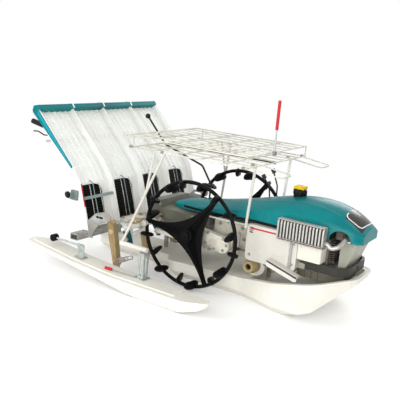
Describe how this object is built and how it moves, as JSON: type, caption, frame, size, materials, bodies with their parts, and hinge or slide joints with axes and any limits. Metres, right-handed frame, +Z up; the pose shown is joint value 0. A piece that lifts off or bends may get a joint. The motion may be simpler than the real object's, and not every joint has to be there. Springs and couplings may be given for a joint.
{
  "type": "walk-behind rice transplanter",
  "caption": "Walk-behind rice transplanter with spoked lugged wheels, flat floats, a sloping sliding seedling table, planting arms, a wire tray rack and an engine under a low bonnet.",
  "frame": {"origin": "on the ground, on the centre plane, straight below the wheel axles, in the flat underside of the centre float", "axes": "+X forward towards the bumper, +Y to the left of the machine, +Z up"},
  "size_m": [2.403, 1.33, 1.166],
  "materials": {
    "float": "matte moulded",
    "black_rubber": "matte",
    "zinc": "zinc plated",
    "grey_casting": "cast",
    "olive_paint": "satin",
    "dark_casting": "cast",
    "teal_paint": "gloss",
    "smoke_plastic": "gloss",
    "black_plastic": "satin",
    "bright_steel": "bright",
    "chrome": "polished",
    "white_paint": "satin",
    "white_plastic": "satin",
    "dark_paint": "satin",
    "brass_zinc": "yellow zinc plated",
    "grey_paint": "satin",
    "teal_plastic": "gloss",
    "red_plastic": "gloss"
  },
  "bodies": {
    "chassis": {"air_box": "white_plastic", "bonnet": "teal_paint", "bonnet_window": "smoke_plastic", "bumper": "dark_paint", "centre_float": "float", "drive_cup": "brass_zinc", "engine_base": "olive_paint", "engine_block": "dark_casting", "exhaust_pipe": "chrome", "float_brackets": "zinc", "frame_rails": "olive_paint", "fuel_cap": "black_plastic", "gearbox": "grey_casting", "handle_grips": "black_plastic", "handlebars": "white_paint", "levers": "dark_paint", "muffler_guard": "bright_steel", "planting_beam": "white_paint", "planting_case_left": "grey_casting", "planting_case_right": "grey_casting", "rack_lower": "white_paint", "rack_posts": "white_paint", "rack_upper": "white_paint", "rear_cover": "grey_paint", "side_cover": "white_paint", "side_float_left": "float", "side_float_right": "float", "step_plate": "white_paint", "swing_case_left": "grey_casting", "swing_case_right": "grey_casting", "table_rail": "zinc"},
    "wheel_right": {"wheel_right": "black_rubber"},
    "wheel_left": {"wheel_left": "black_rubber"},
    "table": {"seedling_table": "white_plastic", "table_caps": "teal_plastic", "feed_belts": "black_rubber", "mat_guides": "white_paint"},
    "crank_right": {"crank_right": "zinc"},
    "crank_left": {"crank_left": "zinc"},
    "arms_right": {"planting_arms_right": "brass_zinc", "planting_claws_right": "bright_steel"},
    "arms_left": {"planting_arms_left": "brass_zinc", "planting_claws_left": "bright_steel"},
    "pole": {"marker_pole": "zinc", "pole_sleeve": "red_plastic"}
  },
  "joints": [
    {"name": "wheel_right_spin", "type": "hinge", "parent": "chassis", "child": "wheel_right", "pos_m": [0, -0.3, 0.333], "axis": [0, 1, 0], "continuous": true},
    {"name": "wheel_left_spin", "type": "hinge", "parent": "chassis", "child": "wheel_left", "pos_m": [0, 0.3, 0.333], "axis": [0, 1, 0], "continuous": true},
    {"name": "table_slide", "type": "slide", "parent": "chassis", "child": "table", "axis": [0, 1, 0], "range_m": [-0.21, 0.07]},
    {"name": "crank_right_turn", "type": "hinge", "parent": "chassis", "child": "crank_right", "pos_m": [-0.46, -0.3, 0.315], "axis": [0, 1, 0], "continuous": true},
    {"name": "crank_left_turn", "type": "hinge", "parent": "chassis", "child": "crank_left", "pos_m": [-0.46, 0.3, 0.315], "axis": [0, 1, 0], "continuous": true},
    {"name": "arms_right_swing", "type": "hinge", "parent": "crank_right", "child": "arms_right", "pos_m": [-0.46, -0.3, 0.279], "axis": [0, 1, 0], "continuous": true},
    {"name": "arms_left_swing", "type": "hinge", "parent": "crank_left", "child": "arms_left", "pos_m": [-0.46, 0.3, 0.279], "axis": [0, 1, 0], "continuous": true},
    {"name": "pole_fold", "type": "hinge", "parent": "chassis", "child": "pole", "pos_m": [0.396, -0.1, 0.868], "axis": [0, 1, 0], "range_deg": [0, 85]}
  ],
  "couplings": [
    {"joint": "arms_right_swing", "follows": "crank_right_turn", "ratio": -1},
    {"joint": "crank_left_turn", "follows": "crank_right_turn", "ratio": 1},
    {"joint": "arms_left_swing", "follows": "crank_right_turn", "ratio": -1}
  ]
}
